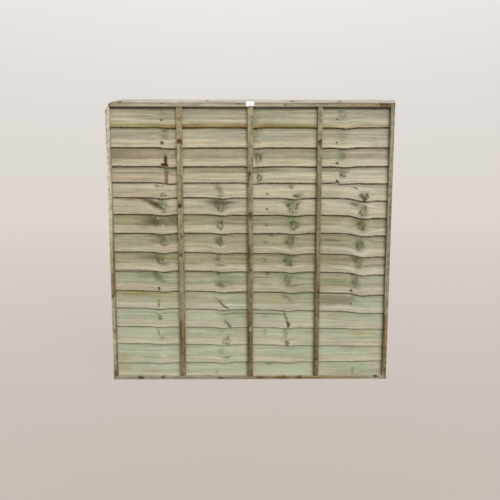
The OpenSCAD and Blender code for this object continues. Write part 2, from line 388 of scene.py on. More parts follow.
# the marks on each board, from its left end and up from its own lower edge, as read_signs names them
MARKS = [
    [("olive", 200, 8, 210, 16, 0.75), ("tan", 430, 9, 150, 12, 0.75), ("olive", 740, 8, 240, 16, 0.7),
     ("tan", 560, 9, 90, 12, 0.55), ("tan", 850, 8, 90, 14, 0.95), ("tan", 1020, 9, 130, 14, 0.8),
     ("olive", 1300, 7, 150, 12, 0.5), ("tan", 1640, 12, 180, 16, 0.3), ("green", 372, 78, 40, 36, 0.3),
     ("smear", 352, 100, 14, 18, 0.3), ("dead", 350, 48, 8, 8, 0.7), ("green", 945, 60, 30, 60, 0.6),
     ("dead", 1467, 56, 6, 6, 0.75), ("ring", 1500, 84, 24, 24, 0.35), ("pale", 180, 66, 200, 60, 0.12)],
    [("smear", 366, 112, 18, 9, 0.7), ("smear", 366, 78, 26, 18, 0.5), ("dead", 350, 33, 10, 10, 0.95),
     ("green", 945, 78, 34, 50, 0.75), ("pale", 966, 58, 12, 14, 0.35), ("green", 1505, 80, 34, 45, 0.55),
     ("dead", 1468, 36, 6, 6, 0.85), ("tan", 1420, 90, 60, 30, 0.25), ("olive", 350, 98, 200, 10, 0.25)],
    [("green", 350, 98, 30, 18, 0.6), ("film", 150, 84, 210, 30, 0.32), ("pink", 410, 32, 34, 28, 0.6),
     ("red", 371, 48, 11, 33, 1.0), ("red", 364, 15, 25, 10, 1.0), ("pale", 1120, 80, 200, 30, 0.16),
     ("ring", 966, 58, 22, 30, 0.95), ("smear", 960, 84, 44, 14, 0.55), ("tan", 1080, 90, 130, 18, 0.3),
     ("green", 1500, 85, 34, 38, 0.7), ("smear", 1512, 70, 16, 14, 0.4), ("dead", 1473, 25, 9, 7, 0.9),
     ("tan", 90, 40, 90, 12, 0.3), ("pink", 260, 80, 120, 20, 0.3), ("smear", 440, 78, 30, 18, 0.4),
     ("film", 1180, 26, 200, 22, 0.1), ("film", 210, 57, 200, 5, 0.3), ("film", 1170, 60, 220, 5, 0.3),
     ("film", 680, 58, 220, 4, 0.15), ("pale", 180, 36, 180, 7, 0.25)],
    [("film", 160, 30, 230, 50, 0.24), ("pink", 200, 26, 260, 40, 0.25), ("tan", 200, 26, 260, 40, 0.12),
     ("pink", 700, 30, 220, 30, 0.25), ("pale", 1150, 70, 210, 34, 0.65),
     ("pale", 1620, 80, 170, 26, 0.4), ("grey", 1620, 25, 180, 24, 0.28), ("pale", 700, 26, 220, 24, 0.2),
     ("green", 352, 86, 24, 16, 0.7), ("pink", 368, 40, 22, 42, 0.5), ("red", 372, 42, 11, 46, 0.5),
     ("red", 379, 40, 5, 40, 0.5), ("smear", 420, 84, 60, 12, 0.4), ("ring", 972, 34, 18, 24, 1.0),
     ("dead", 972, 50, 10, 6, 0.5), ("smear", 955, 74, 40, 13, 0.55), ("smear", 1060, 84, 120, 11, 0.5),
     ("smear", 1460, 82, 90, 11, 0.5), ("smear", 1512, 72, 28, 22, 0.5),
     ("dead", 1500, 58, 8, 8, 0.7, 20), ("dead", 1520, 51, 9, 6, 0.75), ("dead", 1475, 9, 10, 9, 0.85),
     ("olive", 700, 84, 240, 12, 0.4), ("film", 660, 76, 230, 34, 0.13), ("film", 200, 62, 200, 5, 0.3),
     ("film", 690, 71, 220, 5, 0.3), ("pale", 690, 48, 200, 8, 0.25), ("film", 1150, 76, 190, 4, 0.25),
     ("pale", 180, 42, 150, 7, 0.25)],
    [("film", 200, 26, 200, 30, 0.2), ("pink", 200, 30, 260, 34, 0.25), ("smear", 312, 78, 16, 11, 0.6),
     ("smear", 346, 80, 9, 9, 0.45), ("ring", 350, 28, 14, 14, 0.6), ("dead", 338, 22, 5, 7, 0.6),
     ("dead", 368, 22, 6, 6, 0.6), ("smear", 703, 74, 24, 18, 0.5), ("smear", 722, 36, 20, 30, 0.55),
     ("smear", 1178, 82, 18, 15, 0.6), ("dead", 1212, 20, 22, 10, 0.65, -15),
     ("smear", 1232, 26, 34, 14, 0.4), ("dead", 1023, 27, 8, 5, 0.85), ("dead", 1597, 76, 16, 6, 0.65),
     ("dead", 1636, 34, 12, 14, 0.6), ("dead", 1674, 40, 9, 18, 0.65, 20),
     ("dead", 1657, 18, 13, 15, 0.85), ("smear", 1656, 38, 34, 30, 0.4), ("smear", 1715, 44, 12, 9, 0.35),
     ("green", 60, 20, 70, 12, 0.3), ("grey", 690, 24, 230, 26, 0.22), ("grey", 180, 24, 190, 26, 0.15)],
    [("film", 170, 74, 170, 26, 0.1), ("pale", 700, 22, 220, 26, 0.3),
     ("smear", 285, 77, 84, 17, 1.0, -18), ("smear", 322, 66, 40, 28, 0.75),
     ("dead", 314, 62, 22, 10, 0.7, -20), ("green", 345, 80, 26, 26, 0.8), ("pale", 352, 40, 10, 12, 0.6),
     ("ring", 352, 36, 14, 18, 0.85), ("pale", 352, 60, 8, 10, 0.5), ("tan", 170, 94, 90, 8, 0.6),
     ("smear", 715, 84, 105, 15, 0.9), ("smear", 722, 64, 42, 28, 0.65), ("green", 722, 56, 28, 30, 0.6),
     ("pale", 724, 50, 12, 14, 0.7), ("ring", 724, 46, 17, 19, 0.9), ("dead", 692, 58, 8, 6, 0.6),
     ("green", 1165, 84, 40, 18, 0.8), ("ring", 1190, 58, 36, 40, 1.0, -15),
     ("green", 1192, 62, 36, 40, 0.5, -15), ("pale", 1205, 38, 8, 10, 0.6),
     ("dead", 1023, 40, 8, 5, 0.85), ("green", 1598, 84, 48, 20, 0.7), ("smear", 1598, 82, 32, 13, 0.6),
     ("ring", 1652, 50, 24, 38, 0.95, -15), ("green", 1650, 56, 28, 40, 0.5, -15)],
    [("pale", 1600, 80, 180, 30, 0.38), ("smear", 282, 84, 90, 34, 0.75),
     ("ring", 302, 88, 22, 24, 0.5, -20), ("dead", 292, 62, 24, 14, 0.4), ("pale", 314, 104, 8, 8, 0.7),
     ("pale", 345, 54, 8, 12, 0.7), ("smear", 410, 86, 48, 34, 0.45), ("olive", 120, 84, 80, 24, 0.35),
     ("green", 712, 85, 32, 32, 0.7), ("pale", 718, 54, 10, 12, 0.6), ("ring", 718, 56, 22, 26, 0.9),
     ("tan", 830, 92, 60, 12, 0.35), ("green", 1182, 86, 55, 38, 0.95),
     ("ring", 1198, 60, 28, 36, 0.85, -10), ("pale", 1200, 50, 7, 8, 0.6),
     ("smear", 1018, 54, 11, 8, 0.6), ("green", 1628, 86, 56, 42, 0.9),
     ("smear", 1642, 70, 36, 34, 0.3, -15), ("ring", 1640, 72, 26, 34, 0.85, -15),
     ("tan", 1500, 96, 120, 16, 0.35), ("green", 1740, 84, 50, 26, 0.4)],
    [("green", 300, 102, 62, 34, 0.6), ("ring", 330, 92, 24, 24, 0.6, -20),
     ("smear", 292, 92, 20, 20, 0.2), ("pale", 150, 100, 130, 34, 0.3), ("smear", 345, 88, 16, 18, 0.5),
     ("smear", 356, 56, 28, 6, 0.85, 10), ("pink", 425, 28, 44, 18, 0.65),
     ("smear", 420, 88, 44, 22, 0.35), ("green", 705, 100, 34, 32, 0.65), ("smear", 716, 74, 24, 26, 0.3),
     ("ring", 712, 82, 20, 28, 0.75), ("green", 1168, 98, 44, 34, 0.85),
     ("ring", 1176, 82, 27, 36, 0.75, -10), ("smear", 1012, 74, 14, 10, 0.55),
     ("smear", 1050, 122, 14, 12, 0.6), ("green", 1622, 88, 50, 38, 0.75),
     ("smear", 1636, 76, 22, 30, 0.3), ("ring", 1632, 82, 26, 36, 0.75, -10),
     ("crack", 1420, 92, 80, 5, 0.45), ("olive", 1470, 116, 110, 14, 0.4),
     ("green", 980, 104, 60, 30, 0.3)],
    [("smear", 280, 96, 60, 12, 0.5), ("smear", 312, 84, 16, 34, 0.7, 25),
     ("green", 330, 92, 34, 24, 0.6), ("smear", 348, 54, 28, 10, 0.6), ("pale", 326, 72, 7, 10, 0.6),
     ("ring", 318, 76, 22, 24, 0.6, -30), ("olive", 405, 96, 60, 20, 0.7),
     ("green", 405, 86, 50, 20, 0.5), ("ring", 705, 112, 14, 10, 0.7), ("smear", 698, 84, 20, 13, 0.7),
     ("smear", 715, 48, 34, 8, 0.6), ("tan", 850, 86, 110, 10, 0.35), ("green", 1160, 90, 46, 38, 0.8),
     ("ring", 1164, 78, 26, 34, 0.75), ("smear", 1180, 54, 28, 8, 0.5), ("smear", 1010, 78, 13, 14, 0.5),
     ("tan", 1050, 112, 40, 6, 0.6), ("smear", 1598, 98, 26, 14, 0.5), ("ring", 1625, 78, 24, 36, 0.8),
     ("green", 1622, 80, 30, 38, 0.45), ("tan", 1480, 84, 100, 26, 0.4),
     ("film", 1160, 26, 190, 26, 0.14)],
    [("smear", 292, 118, 18, 14, 0.55), ("smear", 318, 84, 42, 22, 0.6, -30),
     ("dead", 311, 22, 7, 12, 0.85), ("smear", 250, 110, 90, 18, 0.35), ("green", 745, 92, 84, 46, 0.65),
     ("smear", 703, 124, 14, 10, 0.6), ("smear", 716, 48, 32, 17, 0.75, -10),
     ("green", 1160, 94, 54, 46, 0.7), ("ring", 1160, 84, 22, 30, 0.6), ("smear", 1192, 54, 46, 10, 0.5),
     ("smear", 1028, 124, 16, 10, 0.7), ("crack", 985, 98, 60, 4, 0.5), ("olive", 1480, 84, 100, 34, 0.5),
     ("tan", 1490, 50, 100, 16, 0.45), ("film", 1280, 70, 440, 70, 0.14),
     ("green", 1608, 84, 34, 52, 0.75), ("ring", 1610, 88, 20, 34, 0.6), ("dead", 1583, 22, 8, 7, 0.95),
     ("dead", 1586, 128, 8, 7, 0.7)],
    [("olive", 180, 102, 150, 22, 0.85), ("grey", 190, 62, 70, 14, 0.6), ("dead", 306, 32, 6, 15, 0.6),
     ("smear", 306, 60, 12, 12, 0.4), ("olive", 390, 70, 60, 30, 0.3),
     ("smear", 738, 34, 42, 7, 0.95, -38), ("smear", 712, 62, 14, 9, 0.6),
     ("smear", 1150, 98, 26, 8, 0.6, -20), ("smear", 1180, 72, 20, 8, 0.4, -40),
     ("film", 1470, 82, 120, 36, 0.15), ("stain", 1480, 78, 110, 32, 0.5),
     ("mint", 1690, 70, 80, 50, 0.25), ("dead", 1586, 58, 6, 9, 0.6), ("green", 1596, 96, 18, 18, 0.6),
     ("olive", 1050, 80, 90, 40, 0.4)],
    [("crack", 240, 97, 170, 4.5, 0.5), ("crack", 800, 97, 100, 4.5, 0.75),
     ("crack", 1040, 95, 105, 4.5, 0.85), ("smear", 312, 70, 11, 16, 0.75),
     ("smear", 322, 58, 14, 7, 0.5), ("dead", 772, 20, 8, 25, 0.6, 28),
     ("smear", 750, 44, 12, 20, 0.5, 35), ("smear", 1150, 82, 9, 36, 0.75, 20),
     ("dead", 1168, 30, 11, 22, 0.85, 10), ("mint", 1612, 100, 34, 16, 0.5),
     ("olive", 830, 84, 90, 16, 0.5), ("mint", 150, 92, 130, 16, 0.2), ("tan", 1460, 88, 60, 20, 0.35),
     ("green", 1018, 74, 24, 12, 0.3), ("tan", 120, 30, 100, 10, 0.2)],
    [("smear", 300, 84, 8, 24, 0.55, 15), ("smear", 322, 50, 14, 10, 0.45),
     ("green", 395, 86, 70, 30, 0.35), ("ring", 755, 30, 28, 26, 0.7), ("green", 720, 98, 16, 16, 0.4),
     ("olive", 860, 86, 90, 26, 0.35), ("smear", 1150, 86, 14, 34, 0.45),
     ("dead", 1160, 19, 14, 17, 0.65), ("smear", 1012, 82, 8, 26, 0.35),
     ("olive", 1650, 90, 70, 20, 0.45), ("tan", 90, 40, 60, 30, 0.2), ("mint", 1060, 90, 60, 20, 0.3)],
    [("mint", 332, 74, 30, 28, 0.5), ("pale", 330, 54, 16, 12, 0.5), ("mint", 160, 84, 150, 16, 0.2),
     ("tan", 60, 40, 50, 30, 0.35), ("smear", 718, 84, 24, 20, 0.4), ("smear", 757, 42, 28, 9, 0.6),
     ("mint", 690, 84, 70, 30, 0.3), ("mint", 1190, 84, 130, 34, 0.28), ("mint", 1622, 66, 18, 36, 0.45),
     ("mint", 1500, 86, 170, 22, 0.35), ("tan", 1300, 30, 170, 8, 0.2)],
    [("mint", 345, 62, 30, 24, 0.45), ("tan", 70, 70, 50, 30, 0.35), ("mint", 700, 66, 44, 30, 0.35),
     ("smear", 688, 44, 12, 14, 0.4), ("mint", 1210, 62, 110, 30, 0.45), ("smear", 1040, 98, 22, 5, 0.6),
     ("mint", 1640, 64, 60, 32, 0.35), ("smear", 1606, 50, 9, 26, 0.4), ("mint", 850, 60, 70, 26, 0.35),
     ("film", 1600, 36, 190, 50, 0.27)],
]
# small breaks in the waney edges: board, place, height, half length
NICKS = [(2, 72, 3.5, 16), (3, 1475, 5, 12), (4, 1240, 2, 20), (9, 1452, 3, 14), (9, 1585, 2, 10),
         (12, 298, 2.5, 12)]
SECTIONS = 240                     # shaped along a board, besides those at its knots
KNOT_PITCH, CLOSEST = 2.6, 0.0014  # between sections at a knot, in millimetres, and anywhere, in metres
WANE_POINTS = np.array([1.0, 0.5, 0.16])  # up the bevel: how much of its thickness is gone there
FACE_POINTS, BACK_POINTS = 44, 10  # up a board's front, and down its back


def places_along(row):
    """Where a board is shaped along its length: closer together at its knots and at the broken corner."""
    x = [np.linspace(BOARD_SHY, WIDE - BOARD_SHY, SECTIONS)]
    for sign, place, _, half, *_ in MARKS[row]:
        if sign in ("ring", "dead", "red"):
            x.append(np.arange(place - 1.4 * half, place + 1.4 * half, KNOT_PITCH) / 1000)
    if row == 0:
        x.append(np.linspace(BOARD_SHY, 0.04, 14))
    x = np.sort(np.concatenate(x))
    kept = [x[0]]
    for place in x[1:-1]:
        if place - kept[-1] > CLOSEST and x[-1] - place > CLOSEST:
            kept.append(place)
    return np.array(kept + [x[-1]])


def board_skin(row, x, low, high):
    """Depth and height of the points round a board: its bevel and its face from the foot up, then
    its back from the head down."""
    foot, neck = LOWEST[row + 1], LOWEST[row]
    lean = BOARD_THICK / (neck - foot)
    lean_above = BOARD_THICK / COURSES[row - 1] * 1000 if row else lean
    back = LAYER + BOARD_THICK
    bevel, cut = 0.0007, 0.0006
    if row < LAST:
        bevel, cut = WANE_TALL * (0.75 + 0.3 * chatter(x, row * 7.0, 0.09)), WANE_THICK

    def face(z):
        return np.where(z < neck, LAYER + lean * (z - foot), back + lean_above * (z - neck))

    z_wane = np.stack([low + 0.0002, low + bevel * 0.3, low + bevel * 0.68], 1)
    z_face = (low + bevel)[:, None] + np.linspace(0, 1, FACE_POINTS) ** 1.05 * (high - low - bevel)[:, None]
    z_back = high[:, None] + np.linspace(0, 1, BACK_POINTS) * (low - high)[:, None]
    y = [face(z_wane) + cut * WANE_POINTS, face(z_face), back + lean * (z_back - foot)]
    return np.concatenate(y, 1), np.concatenate([z_wane, z_face, z_back], 1)


def bark_side(levels, x, rise):
    """The top board's lower edge runs along the bark and is olive brown, most of all in the middle."""
    outer = 1 - soft_step(0.017, 0.029, rise + 0.002 * chatter(x, 3.3, 0.2))
    outer = outer * np.interp(x, (0.0, 0.3, 1.3, 1.45), (0.75, 0.9, 0.9, 0.2))
    levels = levels + (np.array(WOOD["bark side"]) - levels) * outer[..., None]
    inner = 1 - soft_step(0.006, 0.016, rise)
    inner = inner * np.interp(x, (0.0, 0.35, 0.5, 1.3, 1.45), (0.1, 0.3, 0.8, 0.8, 0.1))
    return levels + (np.array(WOOD["bark"]) - levels) * inner[..., None]


def board_shades(row, x, z, rise, share):
    """The shades of a board without its marks. rise: height above its own edge, share: the same
    as a share of what shows."""
    upper, lower, band, soft, _ = SAWN[row]
    line = band + 0.03 * chatter(x, row * 1.3, 0.6) + 0.012 * chatter(x, row * 2.9, 0.17)
    pale = (1 - soft_step(line - soft / 2, line + soft / 2, share))[..., None]
    levels = np.array(WOOD[upper]) * (1 - pale) + np.array(WOOD[lower]) * pale
    # the right hand end stands out in the weather and is greyed, but for the low boards
    if row < 11:
        levels = levels + WEATHERED_END * soft_step(1.35, 1.6, x)[..., None]
    if row == 0:
        levels = bark_side(levels, x, rise)
    tint = light_of(levels)
    drift = chatter(x + 0.3 * z, row * 4.7, 0.8)[..., None]
    tint = tint * (1 + 0.045 * drift * np.array([1.0, 0.9, 0.7]))
    # painted shade on the boards along each upright, most on its left, the side away from the light
    for number, wide in enumerate(UPRIGHT_WIDE):
        off = x - centre_of(number)
        gap = np.abs(off) - wide / 2 + 0.002 * chatter(z + x, number * 2.0, 0.04)
        painted_shade = np.where(off < 0, 0.12, 0.09 if number else 0.01) * (1 - soft_step(0.0, 0.024, gap))
        tint = tint * (1 - painted_shade[..., None] * np.array([0.9, 1.0, 1.15]))
    green = np.clip(0.5 + 0.6 * chatter(x * 0.7 + z, row * 9.1, 0.35), 0, 1)[..., None]
    return tint * (1 + (row / LAST * 0.02 + 0.015) * (green - 0.5) * np.array([-2.0, 0.6, -1.0]))


def add_board(row, finish):
    name = "board_%02d" % (row + 1)
    x = places_along(row)
    low = waney_edge(row, x)
    waves = np.zeros_like(x)
    if row < LAST:
        low = low + 0.0007 * chatter(x, row * 3.0, 0.05) + 0.0004 * chatter(x, row * 5.0, 0.017)
        waves = edge_waves(row, x)
    for board, place, tall, half in NICKS:
        if board == row:
            low = low + tall / 1000 * np.exp(-((x * 1000 - place) / half) ** 4)
    y, z = board_skin(row, x, low, board_head(row, x))
    xx = np.repeat(x[:, None], z.shape[1], 1)
    is_back = np.arange(z.shape[1]) >= len(WANE_POINTS) + FACE_POINTS
    above = waney_edge(row - 1, x) if row else np.full_like(x, OPEN_TOP)
    behind = board_head(row + 1, x) if row < LAST else np.full_like(x, FOOT)
    rise = z - low[:, None]
    straight = low - 0.75 * (waves - waves.mean())
    tint = board_shades(row, xx, z, rise, (z - straight[:, None]) / (above - low).mean())
    flow = z - 0.7 * (straight - straight.mean())[:, None]
    grain = np.stack([xx + row * 0.31, flow + row * 0.57, y + LOGS[row] * 0.2], 2)
    plain = tint.copy()
    ring = read_signs(MARKS[row], xx, rise, tint, grain)
    # knots show through at the back, but less
    tint = np.where(is_back[:, None], plain + 0.5 * (tint - plain), tint)
    # distance from the lap, the knots, and the strength of the painted shade under the lap, with some dirt;
    # less on the back
    from_lap = np.where(is_back, z - behind[:, None], above[:, None] - z)
    from_lap = np.where(from_lap < 0, 0.05, from_lap)
    lap_shade_and_dirt = SAWN[row][-1]
    shade_and_knots = np.stack([from_lap, ring, np.where(is_back, 0.55, lap_shade_and_dirt) * np.ones_like(z)], 2)
    if row < LAST:
        # the bark side left on the lower edge is browner, and darker with painted shade in step with the
        # board's lap shade
        bark = np.zeros_like(z)
        bark[:, :5] = [1.0, 0.95, 0.75, 0.3, 0.1]
        tint = tint + (light_of((72, 54, 12)) - tint) * bark[..., None] * min(1.0, lap_shade_and_dirt + 0.1)
    sawn_piece(name + "_sawn", np.stack([xx, y, z], 2), tint, grain, shade_and_knots, finish, [name])


for row in range(BOARDS):
    finish, slot = ((UPPER_WOOD, "upper_board_wood"), (MIDDLE_WOOD, "middle_board_wood"),
                    (LOWER_WOOD, "lower_board_wood"))[row // 5]
    add_board(row, finish)

# Stiles and battens
# Sawn battens stand in front of the boards and behind them, nailed through the lap of each
# course. The outer pair on each side closes the boards' ends in. The left pair is broken off at
# its head, with the rest of that corner.
STAND_TOP, STAND_FOOT = OPEN_TOP, FOOT + RAIL_TALL
RUBBED = 0.0011                    # how far in from the corner an arris is rubbed
UPRIGHT_SECTIONS = 300
BATTEN_WOOD = treated_softwood("treated batten softwood", fibre=1.6, streak=1.4, saw=0.7, mottle=2.0,
                               rough=0.82, hue=0.05)
# what the frame's wood weathers to, from the driest to the dampest
FRAME = {
    "silver": (186, 179, 167),
    "cream": (195, 185, 168),
    "light": (168, 162, 141),
    "dry": (158, 146, 118),
    "grey": (151, 142, 121),
    "ash": (146, 139, 122),
    "worn": (142, 130, 102),
    "damp": (127, 113, 86),
    "wet": (112, 100, 71),
}


def weathered(place, shades):
    """Runs a piece's shades, each named at its place in millimetres, into one another."""
    places = np.array([at for at, _ in shades]) / 1000
    tones = [light_of(FRAME[name]) for _, name in shades]
    return np.stack([np.interp(place, places, [tone[c] for tone in tones]) for c in range(3)], 2)


def rubbed_outline(wide, deep, cells_wide, cells_deep):
    """Points round a sawn section, with its arrises just rubbed off."""
    a = np.linspace(RUBBED, wide - RUBBED, cells_wide)
    b = np.linspace(RUBBED, deep - RUBBED, cells_deep)
    k = RUBBED * 0.3
    side = [(v, 0.0) for v in a] + [(wide - k, k)] + [(wide, v) for v in b] + [(wide - k, deep - k)]
    side += [(v, deep) for v in a[::-1]] + [(k, deep - k)] + [(0.0, v) for v in b[::-1]] + [(k, k)]
    return np.array(side)


def uneven_face(y, front, ragged):
    """Lets the front and the back of a sawn length run a little in and out."""
    return y + np.where(y < front + 0.002, 0.0003, -0.0003) * ragged


def add_upright(name, number, front, seed, shades, marks):
    """An upright, numbered from the left stile. shades: heights in millimetres with the shade there.
    marks: as on the boards, but along is the height and up is the place across."""
    wide = UPRIGHT_WIDE[number]
    left = centre_of(number) - wide / 2
    outline = rubbed_outline(wide, DEEP, 8, 5)
    x, y = left + outline[:, 0], front + outline[:, 1]
    top = np.minimum(STAND_TOP, broken_line(x))
    z = STAND_FOOT + np.linspace(0, 1, UPRIGHT_SECTIONS)[:, None] * (top - STAND_FOOT)
    z[-1] -= 0.0016 * np.abs(chatter(x + y, seed, 0.012)) * (top < STAND_TOP - 0.0005)
    xx, yy = np.broadcast_to(x, z.shape), np.broadcast_to(y, z.shape)
    yy = uneven_face(yy, front, chatter(z + xx, seed, 0.21))
    tint = weathered(z, shades) * (1 + 0.05 * chatter(z, seed * 3.3, 0.28)[..., None])
    grain = np.stack([z + seed, xx - left + 0.0016 * chatter(z, seed, 0.3) + seed * 0.4, yy + seed * 0.1], 2)
    ring = read_signs(marks, z, xx - left, tint, grain)
    # darker towards both ends, where the upright meets the rails: painted shade, with some dirt
    to_end = np.maximum(np.minimum(top - z, z - STAND_FOOT), 0.0)
    shade_and_knots = np.stack([to_end, ring, np.full_like(z, 0.45)], 2)
    sawn_piece(name + "_sawn", np.stack([xx, yy, z], 2), tint, grain, shade_and_knots, BATTEN_WOOD,
               [name])


add_upright(
    "stile_left_front", 0, -LAYER, 0.7,
    [(-888, "worn"), (-720, "light"), (-380, "light"), (-330, "worn"), (-80, "dry"), (60, "light"),
     (330, "cream"), (861, "cream")],
    # the long brown lines 24 to 25 mm across, along the inner edge, are partly sap streaks and partly painted
    # shade where the stile meets the boards
    [("brown", -290, 20, 60, 8, 0.6), ("brown", -120, 23, 110, 6, 0.7), ("brown", -215, 17, 40, 8, 0.45),
     ("brown", 130, 25, 230, 4, 0.5), ("brown", -620, 25, 290, 4, 0.55), ("dead", -345, 12, 9, 9, 0.7),
     ("brown", -520, 6, 60, 6, 0.2), ("brown", -590, 15, 26, 7, 0.45), ("brown", -874, 13, 18, 16, 0.7),
     ("smear", 770, 6, 26, 8, 0.15), ("brown", 836, 4, 16, 9, 0.3), ("brown", 600, 24, 250, 4, 0.35),
     ("brown", -780, 21, 130, 8, 0.4)])
add_upright(
    "stile_left_back", 0, BACK, 1.9,
    [(-888, "worn"), (861, "dry")],
    [("dead", 420, 12, 14, 9, 0.8), ("brown", -420, 18, 120, 7, 0.6), ("smear", 120, 10, 60, 9, 0.4)])
add_upright(
    "batten_left_front", 1, -LAYER, 2.8,
    [(-888, "damp"), (-600, "damp"), (-420, "worn"), (400, "worn"), (640, "dry"), (861, "dry")],
    [("burr", 652, 18, 16, 18, 1.0), ("dead", 648, 24, 5, 5, 0.6), ("brown", 244, 14, 17, 12, 0.95),
     ("dead", 243, 13, 11, 10, 0.95, 20), ("brown", 45, 22, 20, 10, 0.6), ("burr", -72, 17, 13, 13, 0.8),
     ("tan", -610, 20, 100, 14, 0.6), ("brown", -640, 9, 90, 6, 0.5), ("brown", -700, 27, 120, 5, 0.4),
     ("brown", -560, 6, 60, 6, 0.6), ("pale", 592, 20, 7, 4, 0.6), ("pale", 560, 12, 6, 4, 0.6),
     ("pale", 606, 10, 5, 4, 0.5), ("pale", 505, 22, 9, 4, 0.4), ("brown", 610, 27, 60, 5, 0.45),
     ("brown", 300, 30, 60, 4, 0.5), ("smear", 400, 8, 60, 6, 0.35), ("smear", 150, 28, 40, 6, 0.4),
     ("brown", -160, 3, 60, 4, 0.5)])
add_upright(
    "batten_left_back", 1, BACK, 3.6,
    [(-888, "damp"), (0, "worn"), (861, "dry")],
    [("dead", -240, 20, 13, 10, 0.8), ("brown", 520, 10, 120, 8, 0.55), ("smear", 120, 18, 40, 12, 0.4)])
add_upright(
    "batten_middle_front", 2, -LAYER, 4.4,
    [(-888, "wet"), (-600, "wet"), (-330, "damp"), (-60, "damp"), (200, "worn"), (861, "dry")],
    [("brown", 448, 12, 16, 9, 1.0), ("burr", 190, 16, 16, 15, 0.95), ("brown", 175, 22, 22, 12, 0.7),
     ("brown", 420, 8, 60, 6, 0.4), ("brown", -70, 8, 60, 7, 0.75), ("brown", -130, 9, 70, 6, 0.6),
     ("red", -172, 16, 4, 14, 0.6), ("brown", -500, 7, 50, 6, 0.65), ("brown", -650, 10, 110, 7, 0.85),
     ("brown", -780, 14, 60, 8, 0.4), ("pale", -575, 16, 11, 6, 0.7), ("pale", -560, 21, 7, 5, 0.6),
     ("smear", 330, 22, 40, 6, 0.4), ("brown", 60, 4, 90, 4, 0.5), ("smear", 300, 10, 60, 7, 0.35)])
add_upright(
    "batten_middle_back", 2, BACK, 5.5,
    [(-888, "damp"), (-100, "worn"), (861, "dry")],
    [("dead", 330, 14, 12, 10, 0.8), ("brown", -520, 22, 110, 8, 0.6), ("dead", -700, 12, 8, 8, 0.6)])
add_upright(
    "batten_right_front", 3, -LAYER, 6.2,
    [(-888, "wet"), (-700, "wet"), (-520, "damp"), (-330, "wet"), (-80, "damp"), (300, "damp"),
     (480, "worn"), (861, "dry")],
    [("dead", 650, 12, 12, 11, 0.85), ("brown", 636, 18, 40, 8, 0.5), ("dead", -318, 20, 12, 9, 0.8),
     ("brown", -330, 22, 60, 7, 0.5), ("dead", -768, 14, 18, 10, 0.6), ("brown", -700, 8, 70, 6, 0.4),
     ("smear", 380, 8, 120, 6, 0.35), ("brown", -150, 6, 80, 5, 0.45), ("smear", 180, 26, 90, 5, 0.35)])
add_upright(
    "batten_right_back", 3, BACK, 7.1,
    [(-888, "damp"), (200, "worn"), (861, "worn")],
    [("dead", -60, 22, 14, 10, 0.85), ("brown", 640, 12, 90, 8, 0.5)])
add_upright(
    "stile_right_front", 4, -LAYER, 8.3,
    [(-888, "worn"), (-760, "damp"), (-600, "damp"), (-330, "grey"), (200, "worn"), (520, "worn"),
     (861, "grey")],
    [("tan", -600, 12, 110, 12, 0.6), ("brown", -540, 4, 90, 6, 0.65), ("brown", -680, 7, 90, 7, 0.5),
     ("brown", -800, 6, 60, 7, 0.4), ("pink", 420, 12, 120, 12, 0.2), ("smear", 110, 20, 40, 5, 0.4),
     ("dead", -180, 20, 6, 4, 0.4), ("brown", -860, 14, 24, 12, 0.6)])
add_upright(
    "stile_right_back", 4, BACK, 9.4,
    [(-888, "damp"), (0, "worn"), (861, "dry")],
    [("dead", 240, 13, 11, 9, 0.8), ("brown", -300, 8, 100, 7, 0.55)])

# The rails
# Four sawn rails close the panel above and below, front and back, and the uprights butt against
# them. Both top rails are snapped off short at the left, where the corner is broken.
RAIL_SECTIONS = 340
RAIL_WOOD = treated_softwood("treated rail softwood", fibre=1.2, streak=1.0, saw=0.8, mottle=0.6,
                             rough=0.83, hue=0.04)


def add_rail(name, front, foot, seed, shades, marks):
    """shades: places along in millimetres with the shade there. marks: as on the boards."""
    outline = rubbed_outline(DEEP, RAIL_TALL, 6, 7)
    y, z = front + outline[:, 0], foot + outline[:, 1]
    start = np.zeros_like(z)
    if foot == OPEN_TOP:
        start = np.interp(z, BREAK_HIGH, BREAK_ACROSS) + 0.0022 * np.abs(chatter(y * 3 + z, seed, 0.009))
    xx = start + np.linspace(0, 1, RAIL_SECTIONS)[:, None] * (WIDE - start)
    yy, zz = np.broadcast_to(y, xx.shape), np.broadcast_to(z, xx.shape)
    yy = uneven_face(yy, front, chatter(xx, seed, 0.23))
    tint = weathered(xx, shades) * (1 + 0.045 * chatter(xx, seed * 2.1, 0.3)[..., None])
    if foot == FOOT:
        # painted light: the top face is made paler, as if lit from above
        painted_top_light = soft_step(foot + RAIL_TALL - 0.0012, foot + RAIL_TALL, zz)[..., None]
        tint = tint + (light_of((176, 168, 148)) - tint) * painted_top_light
    rise = zz - foot
    grain = np.stack([xx + seed, rise + 0.0016 * chatter(xx, seed, 0.35) + seed * 0.3, yy + seed * 0.2], 2)
    ring = read_signs(marks, xx, rise, tint, grain)
    to_end = np.minimum(xx - start, WIDE - xx)
    shade_and_knots = np.stack([to_end * 0.6, ring, np.full_like(xx, 0.55)], 2)
    sawn_piece(name + "_sawn", np.stack([xx, yy, zz], 2), tint, grain, shade_and_knots, RAIL_WOOD, [name])


